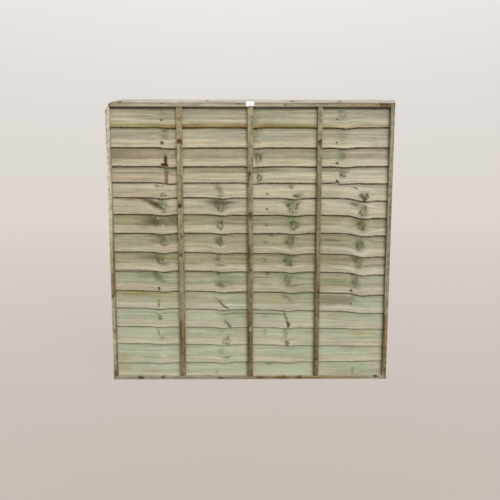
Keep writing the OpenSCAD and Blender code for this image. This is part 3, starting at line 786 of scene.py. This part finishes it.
add_rail(
    "top_rail_front", -LAYER, OPEN_TOP, 11.2,
    [(0, "light"), (1000, "light"), (1400, "grey"), (1829, "worn")],
    [("dead", 1738, 19, 10, 6, 0.85), ("dead", 1745, 9, 9, 5, 0.8), ("brown", 1776, 15, 22, 9, 0.9),
     ("crack", 1752, 14, 60, 2, 0.9), ("crack", 1797, 13, 3, 13, 0.9), ("brown", 1768, 5, 34, 4, 0.6),
     ("dead", 1133, 10, 9, 7, 0.55), ("smear", 1150, 8, 30, 5, 0.5), ("dead", 358, 22, 9, 7, 0.5),
     ("dead", 843, 22, 8, 5, 0.8), ("dead", 868, 25, 11, 4, 0.8), ("smear", 560, 8, 60, 5, 0.4),
     ("tan", 90, 12, 90, 10, 0.4), ("smear", 1400, 20, 90, 5, 0.35), ("brown", 30, 14, 22, 12, 0.2)])
add_rail(
    "top_rail_back", BACK, OPEN_TOP, 12.6,
    [(0, "dry"), (1829, "worn")],
    [("dead", 520, 14, 14, 9, 0.8), ("dead", 1320, 12, 11, 8, 0.8), ("smear", 900, 12, 120, 7, 0.4),
     ("brown", 30, 14, 22, 12, 0.6)])
add_rail(
    "bottom_rail_front", -LAYER, FOOT, 13.9,
    [(0, "ash"), (600, "ash"), (1100, "damp"), (1450, "worn"), (1829, "ash")],
    [("dead", 180, 13, 20, 9, 0.9), ("dead", 328, 16, 14, 7, 0.8), ("dead", 715, 10, 20, 6, 0.75),
     ("brown", 985, 12, 26, 8, 0.8), ("brown", 1120, 13, 36, 9, 0.75), ("dead", 1240, 14, 20, 8, 0.7),
     ("brown", 1330, 10, 60, 6, 0.45), ("dead", 1758, 18, 16, 8, 0.9), ("smear", 480, 12, 90, 6, 0.4),
     ("smear", 1560, 10, 120, 6, 0.4)])
add_rail(
    "bottom_rail_back", BACK, FOOT, 15.3,
    [(0, "worn"), (900, "damp"), (1829, "worn")],
    [("dead", 420, 13, 15, 9, 0.8), ("dead", 1480, 14, 13, 8, 0.8), ("brown", 980, 12, 80, 8, 0.5)])

# The weather cap
# A planed length of softwood with both top edges sloped off, nailed along the rails to shed the
# rain. It is the palest piece, and it is worn away at the left over the broken corner.
CAP_SIDE, CAP_FLAT, CAP_OVER = 0.004, 0.012, 0.002
CAP_START, CAP_WHOLE = 0.0312, 0.125  # the break runs through the cap between these two places
CAP_WOOD = treated_softwood("treated cap softwood", fibre=0.8, streak=0.6, saw=0.5, mottle=0.2,
                            rough=0.74, hue=0.02)
CAP_MARKS = [("dead", 96, 3, 10, 7, 0.7), ("smear", 700, 6, 60, 6, 0.3), ("dead", 640, 16, 10, 5, 0.5),
             ("dead", 1180, 12, 12, 5, 0.6), ("smear", 1200, 14, 50, 5, 0.35),
             ("dead", 1480, 12, 14, 4, 0.6), ("smear", 1500, 8, 60, 6, 0.35),
             ("tan", 120, 8, 60, 12, 0.15), ("smear", 260, 20, 60, 5, 0.25)]


def add_cap():
    front, back = -LAYER - CAP_OVER, BACK + DEEP + CAP_OVER
    middle = (front + back) / 2
    # each corner of the section, and the number of points from it to the next
    corners = [(front, RAIL_TOP, 3), (front, RAIL_TOP + CAP_SIDE, 7), (middle - CAP_FLAT / 2, TOP, 4),
               (middle + CAP_FLAT / 2, TOP, 7), (back, RAIL_TOP + CAP_SIDE, 3), (back, RAIL_TOP, 8)]
    outline = []
    for (y, z, cells), (y2, z2, _) in zip(corners, corners[1:] + corners[:1]):
        for k in range(cells):
            outline.append((y + (y2 - y) * k / cells, z + (z2 - z) * k / cells))
    outline = np.array(outline)
    x = np.concatenate([np.linspace(CAP_START, CAP_WHOLE, 34), np.linspace(0.13, WIDE, 320)])
    xx = np.repeat(x[:, None], len(outline), 1)
    yy, zz = np.broadcast_to(outline[:, 0], xx.shape), np.broadcast_to(outline[:, 1], xx.shape)
    worn = broken_line(x)[:, None] - 0.0012 * np.abs(chatter(xx + yy * 2, 3.0, 0.02))
    gone = zz > worn
    zz = np.where(gone, np.maximum(worn, RAIL_TOP + 0.0004), zz)
    dips = 0.0006 * chatter(xx, 5.0, 0.3) * (zz > RAIL_TOP + CAP_SIDE * 0.9)
    zz = np.where(gone, zz, zz - np.abs(dips))
    tint = weathered(xx, [(0, "light"), (220, "silver"), (1829, "silver")])
    tint = tint * (1 + 0.04 * chatter(xx, 8.0, 0.24)[..., None])
    fresh = light_of((166, 154, 128)) * (1 + 0.2 * chatter(xx + yy, 2.0, 0.008)[..., None])
    tint = np.where(gone[..., None], fresh, tint)
    grain = np.stack([xx + 21, yy + 0.0012 * chatter(xx, 4.0, 0.4), zz + 3.3], 2)
    ring = read_signs(CAP_MARKS, xx, zz - RAIL_TOP, tint, grain)
    # darker along the cap's foot on the rail: painted shade under its overhang, with some dirt, and towards
    # the right end
    to_edge = np.minimum(zz - RAIL_TOP + 0.002, (WIDE - xx) * 0.6 + 0.002)
    shade_and_knots = np.stack([to_edge, ring, np.full_like(xx, 0.2)], 2)
    sawn_piece("weather_cap_dressed", np.stack([xx, yy, zz], 2), tint, grain, shade_and_knots, CAP_WOOD,
               ["weather_cap"])


add_cap()

# The nails
# Small galvanised nails: one through each batten into every lap, front and back, a pair at each
# upright's place in the rails, and a line of them down through the cap. Each head is driven flush
# or just under, never twice the same.
NAIL_ACROSS, NAIL_DOME, NAIL_SIDES = 0.0046, 0.0006, 10
# a nail from its shank out over the head's rim and in over its dome, as shares of the head
NAIL_PROFILE = ((0.22, -2.2), (0.22, -0.6), (1.0, -0.35), (1.0, 0.25), (0.82, 0.7), (0.4, 0.95))
NAIL_TIP, NAIL_SINK, NAIL_SEED = 5.0, 0.0005, 11
CAP_NAILS, CAP_NAIL_START, CAP_NAIL_PITCH = 9, 0.14, 0.194
RAIL_NAIL_BETWEEN = 0.7            # the rails have one more nail here, between two uprights


def speckle(t, scale, detail):
    """Uneven spots all over a piece, the finer the greater the scale."""
    place = wire(t, "ShaderNodeTexCoord", {}).outputs["Object"]
    return wire(t, "ShaderNodeTexNoise", {"Vector": place, "Scale": scale, "Detail": detail}).outputs[0]


def faded(t, value, stops):
    """Runs shades, each given at its place between 0 and 1, into one another."""
    node = wire(t, "ShaderNodeValToRGB", {"Fac": value})
    ramp = node.color_ramp.elements
    for n, (place, levels) in enumerate(stops):
        stop = ramp[n] if n < 2 else ramp.new(place)
        stop.position = place
        stop.color = opaque(levels)
    return node.outputs[0]


def zinc():
    finish = empty_finish("dull zinc")
    t = finish.node_tree
    bloom = speckle(t, 420.0, 3.0)
    rust = reach(t, speckle(t, 6.0, 1.0), 0.45, 0.62, 0.0, 1.0)
    grey = faded(t, bloom, [(0.0, (96, 92, 84)), (1.0, (160, 158, 150))])
    shade = mixed(t, rust, grey, opaque((104, 82, 58)))
    dull = reach(t, bloom, 0.0, 1.0, 0.45, 0.75)
    lay_coat(t, {"Base Color": shade, "Metallic": 0.7, "Roughness": dull}, bloom, 0.3, 0.0002)
    return finish


def nail_head():
    """A flat headed nail, seen from outside: the head's rim, its low dome and a stub of shank."""
    points, faces, sides = [], [], NAIL_SIDES
    for share, height in NAIL_PROFILE:
        radius = share * NAIL_ACROSS / 2
        for k in range(sides):
            turn = 2 * math.pi * k / sides
            points.append((radius * math.cos(turn), radius * math.sin(turn), height * NAIL_DOME))
    points.append((0, 0, NAIL_DOME))
    last = len(NAIL_PROFILE) - 1
    for k in range(sides * last):
        n = k - k % sides + (k + 1) % sides
        faces.append((k, n, n + sides, k + sides))
    faces += [(last * sides + k, last * sides + (k + 1) % sides, (last + 1) * sides) for k in range(sides)]
    faces.append(tuple(range(sides))[::-1])
    mesh = bpy.data.meshes.new("nail head")
    mesh.from_pydata(points, [], faces)
    return mesh


def nailing(finish):
    """A nail at every point, turned to the point's own way out, tipped and sunk a little at random."""
    tree = bpy.data.node_groups.new("nails at the laps", "GeometryNodeTree")
    for label, kind in (("Geometry", "NodeSocketGeometry"), ("Nail", "NodeSocketObject"),
                        ("Tip in degrees", "NodeSocketFloat"), ("Sink", "NodeSocketFloat"),
                        ("Seed", "NodeSocketInt")):
        tree.interface.new_socket(label, in_out="INPUT", socket_type=kind)
    tree.interface.new_socket("Geometry", in_out="OUTPUT", socket_type="NodeSocketGeometry")
    given = tree.nodes.new("NodeGroupInput").outputs
    nail = wire(tree, "GeometryNodeObjectInfo", {"Object": given["Nail"]}).outputs["Geometry"]
    spots = wire(tree, "GeometryNodeMeshToPoints", {"Mesh": given["Geometry"]}).outputs[0]
    out = wire(tree, "GeometryNodeInputNamedAttribute", {"Name": "out"}, data_type="FLOAT_VECTOR").outputs[0]
    sink = wire(tree, "FunctionNodeRandomValue", {2: 0.0, 3: given["Sink"], "Seed": given["Seed"]}).outputs[1]
    down = sums(tree, "MULTIPLY", sink, -1.0)
    shift = wire(tree, "ShaderNodeVectorMath", {0: out, "Scale": down}, operation="SCALE").outputs[0]
    spots = wire(tree, "GeometryNodeSetPosition", {"Geometry": spots, "Offset": shift}).outputs[0]
    stand = wire(tree, "FunctionNodeAlignRotationToVector", {"Vector": out}, axis="Z").outputs[0]
    tip = sums(tree, "MULTIPLY", given["Tip in degrees"], math.pi / 180)
    less = sums(tree, "MULTIPLY", tip, -1.0)
    low = wire(tree, "ShaderNodeCombineXYZ", {"X": less, "Y": less, "Z": 0.0}).outputs[0]
    high = wire(tree, "ShaderNodeCombineXYZ", {"X": tip, "Y": tip, "Z": 6.28}).outputs[0]
    lean = wire(tree, "FunctionNodeRandomValue", {0: low, 1: high, "Seed": given["Seed"]},
                data_type="FLOAT_VECTOR").outputs[0]
    turn = wire(tree, "FunctionNodeRotateRotation", {"Rotation": stand, "Rotate By": lean},
                rotation_space="LOCAL").outputs[0]
    heads = wire(tree, "GeometryNodeInstanceOnPoints", {"Points": spots, "Instance": nail, "Rotation": turn})
    solid = wire(tree, "GeometryNodeRealizeInstances", {"Geometry": heads.outputs[0]})
    coat = wire(tree, "GeometryNodeSetMaterial", {"Geometry": solid.outputs[0], "Material": finish})
    wire(tree, "NodeGroupOutput", {"Geometry": coat.outputs[0]})
    return tree


def nail_places():
    """Where the nails stand, and which way each one's head looks."""
    spots, ways = [], []

    def nail_both_sides(x, aside, z, lower):
        spots.extend([(x + aside, -LAYER, z), (x - aside, BACK + DEEP, z - lower)])
        ways.extend([(0, -1, 0), (0, 1, 0)])

    for number in range(5):
        x = centre_of(number)
        for row in range(BOARDS):
            z = float(waney_edge(row, np.array([x]))[0]) + (0.013 if row < LAST else 0.04)
            nail_both_sides(x, 0.005 * math.sin(row * 2.3 + number * 1.9), z, 0.004)
    for number in range(CAP_NAILS):
        x = CAP_NAIL_START + number * CAP_NAIL_PITCH
        spots.append((x, (BACK + DEEP - LAYER) / 2 + 0.002 * math.sin(number * 2.1), TOP - 0.0004))
        ways.append((0, 0, 1))
    for number, x in enumerate([centre_of(n) for n in range(5)] + [RAIL_NAIL_BETWEEN]):
        nail_both_sides(x, 0.004, FOOT + 0.012, 0)
        # the top rails' left ends are gone
        if number:
            nail_both_sides(x, 0.004, OPEN_TOP + 0.014, 0)
    return spots, ways


def drive_nails():
    spots, ways = nail_places()
    seeds = bpy.data.meshes.new("nail places")
    seeds.from_pydata(spots, [], [])
    out = seeds.attributes.new("out", "FLOAT_VECTOR", "POINT")
    out.data.foreach_set("vector", np.array(ways, float).ravel())
    maker = put("nail places", seeds)
    head = put("nail head", nail_head())
    drive = maker.modifiers.new("nails", "NODES")
    drive.node_group = nailing(zinc())
    given = {s.name: s.identifier for s in drive.node_group.interface.items_tree if s.in_out == "INPUT"}
    drive[given["Nail"]] = head
    drive[given["Tip in degrees"]] = NAIL_TIP
    drive[given["Sink"]] = NAIL_SINK
    drive[given["Seed"]] = NAIL_SEED
    bpy.context.view_layer.update()
    settled = maker.evaluated_get(bpy.context.evaluated_depsgraph_get())
    nails = put("nails", bpy.data.meshes.new_from_object(settled))
    bpy.data.objects.remove(maker)
    bpy.data.objects.remove(head)
    soften(nails.data, 35)
    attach(nails, "root")


drive_nails()

# The ticket
# A blank white waterproof card, stapled over the joint of the cap and the top rail in the middle.
# It lies flat on both and its head follows the cap's slope back.
TICKET_WIDE, TICKET_MIDDLE, TICKET_FOOT, TICKET_THICK = 0.053, 0.9125, 0.868, 0.0005
TICKET_ROWS, TICKET_COLUMNS = 19, 25


def add_ticket():
    cap_front = -LAYER - CAP_OVER
    shoulder = RAIL_TOP + CAP_SIDE
    # depth and height of the card's middle line, from its foot over the cap's shoulder
    way = np.array([(cap_front - 0.0007, TICKET_FOOT), (cap_front - 0.0010, TICKET_FOOT + 0.006),
                    (cap_front - 0.0008, RAIL_TOP - 0.006), (cap_front - 0.0005, RAIL_TOP - 0.001),
                    (cap_front - 0.0005, shoulder - 0.0005), (cap_front + 0.0016, shoulder + 0.0030),
                    (cap_front + 0.0046, shoulder + 0.0068)])
    along = np.linspace(0, len(way) - 1, TICKET_ROWS)
    y0, z0 = [np.interp(along, range(len(way)), way[:, c])[:, None] for c in range(2)]
    across, up = np.meshgrid(np.linspace(-0.5, 0.5, TICKET_COLUMNS), np.linspace(0, 1, TICKET_ROWS))
    x = TICKET_MIDDLE + TICKET_WIDE * across
    z = z0 + (0.0012 * np.sin(across * 5 + 1) + 0.0016 * across) * (1 - up)
    y = y0 - 0.0007 * (1 - up) * (np.abs(across) * 2) ** 3
    points, faces = [], []
    for off in (0.0, TICKET_THICK):
        points += np.stack([x, y + off, z], 2).reshape(-1, 3).tolist()
    rows, cols = x.shape
    n = rows * cols
    for r in range(rows - 1):
        for c in range(cols - 1):
            a = r * cols + c
            faces.append((a, a + 1, a + 1 + cols, a + cols))
            faces.append((n + a, n + a + cols, n + a + 1 + cols, n + a + 1))
    rim = list(range(cols)) + [r * cols + cols - 1 for r in range(1, rows)]
    rim += [(rows - 1) * cols + c for c in range(cols - 2, -1, -1)]
    rim += [r * cols for r in range(rows - 2, 0, -1)]
    faces += [(a, n + a, n + b, b) for a, b in zip(rim, rim[1:] + rim[:1])]
    mesh = bpy.data.meshes.new("ticket")
    mesh.from_pydata(points, [], faces)
    soften(mesh, 40)
    card = empty_finish("white waterproof card")
    t = card.node_tree
    mottle = speckle(t, 90.0, 4.0)
    white = faded(t, mottle, [(0.0, (236, 236, 236)), (1.0, (253, 253, 252))])
    dull = reach(t, speckle(t, 900.0, 2.0), 0.0, 1.0, 0.42, 0.62)
    lay_coat(t, {"Base Color": white, "Roughness": dull, "Specular IOR Level": 0.4}, mottle, 0.2, 0.0003)
    mesh.materials.append(card)
    ticket = put("ticket", mesh)
    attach(ticket, "root")


add_ticket()

# The studio
# A plain pale floor that runs out to the horizon and glows to the camera with painted shade, darker near the
# panel;
# an even pale surround, one broad soft light from high on the right, and the camera where the photograph was
# taken from.
FLOOR_OUT, FLOOR_SIDES, FLOOR_DROP = 60, 64, 0.0004
# the floor's painted glow by how far off it lies, darker near, and the shade of the surround by how high it
# stands
FLOOR_FADE = [(0.0, (201, 191, 182)), (0.5, (214, 205, 198)), (1.0, (230, 221, 215))]
SURROUND_FADE = [(0.0, (221, 213, 207)), (0.26, (225, 221, 216)), (0.45, (237, 234, 229))]
TOWARDS_SUN = np.array([0.5, -1.0, 0.8])
CAMERA_PLACE, CAMERA_DOWN, CAMERA_RIGHT = (0.896, -2.6, 0.214), 5.61, 0.36


def lay_floor():
    mesh = bpy.data.meshes.new("floor")
    turns = np.linspace(0, 2 * math.pi, FLOOR_SIDES + 1)[:-1]
    rim = [(FLOOR_OUT * math.cos(a), FLOOR_OUT * math.sin(a), FOOT - FLOOR_DROP) for a in turns]
    mesh.from_pydata(rim, [], [tuple(range(FLOOR_SIDES))])
    floor = put("floor", mesh)
    finish = empty_finish("pale studio floor")
    t = finish.node_tree
    place = wire(t, "ShaderNodeTexCoord", {}).outputs["Object"]
    squeezed = wire(t, "ShaderNodeVectorMath", {0: place, 1: (0.35, 1.0, 0.0), 2: (-0.3, 1.2, 0.0)},
                    operation="MULTIPLY_ADD").outputs[0]
    away = wire(t, "ShaderNodeVectorMath", {0: squeezed}, operation="LENGTH").outputs[1]
    fade = faded(t, sums(t, "DIVIDE", away, sums(t, "ADD", away, 3.0)), FLOOR_FADE)
    # the floor glows though it is no lamp: painted light, and to the camera it is mostly this glow
    glow = wire(t, "ShaderNodeEmission", {"Color": fade, "Strength": 1.0})
    cloth = wire(t, "ShaderNodeBsdfDiffuse", {"Color": (0.45, 0.43, 0.41, 1)})
    seen = sums(t, "MULTIPLY", wire(t, "ShaderNodeLightPath", {}).outputs["Is Camera Ray"], 0.86)
    both = wire(t, "ShaderNodeMixShader", {0: seen, 1: cloth.outputs[0], 2: glow.outputs[0]})
    wire(t, "ShaderNodeOutputMaterial", {"Surface": both.outputs[0]})
    mesh.materials.append(finish)


def hang_surround():
    world = bpy.data.worlds.new("surround")
    bpy.context.scene.world = world
    world.use_nodes = True
    t = world.node_tree
    t.nodes.clear()
    way = wire(t, "ShaderNodeTexCoord", {}).outputs["Generated"]
    rise = wire(t, "ShaderNodeSeparateXYZ", {0: way}).outputs["Z"]
    shown = wire(t, "ShaderNodeBackground", {"Color": faded(t, rise, SURROUND_FADE), "Strength": 1.0})
    cast = wire(t, "ShaderNodeBackground", {"Color": (1.0, 0.985, 0.97, 1), "Strength": 0.36})
    seen = wire(t, "ShaderNodeLightPath", {}).outputs["Is Camera Ray"]
    both = wire(t, "ShaderNodeMixShader", {0: seen, 1: cast.outputs[0], 2: shown.outputs[0]})
    wire(t, "ShaderNodeOutputWorld", {"Surface": both.outputs[0]})


def set_light_and_camera():
    key = bpy.data.lights.new("key", "SUN")
    key.energy, key.angle, key.color = 2.79, math.radians(58), (1.0, 0.99, 0.98)
    lamp = put("key", key)
    lamp.rotation_euler = (math.atan2(math.hypot(*TOWARDS_SUN[:2]), TOWARDS_SUN[2]), 0,
                           math.atan2(TOWARDS_SUN[0], -TOWARDS_SUN[1]))
    lens = bpy.data.cameras.new("camera")
    lens.lens, lens.sensor_width, lens.clip_start, lens.clip_end = 28.77, 36.0, 0.05, 200.0
    camera = put("camera", lens)
    camera.location = CAMERA_PLACE
    camera.rotation_euler = (math.radians(90 - CAMERA_DOWN), 0, math.radians(-CAMERA_RIGHT))
    bpy.context.scene.camera = camera
    bpy.context.scene.view_settings.view_transform = "Standard"
    bpy.context.scene.view_settings.look = "None"


lay_floor()
hang_surround()
set_light_and_camera()
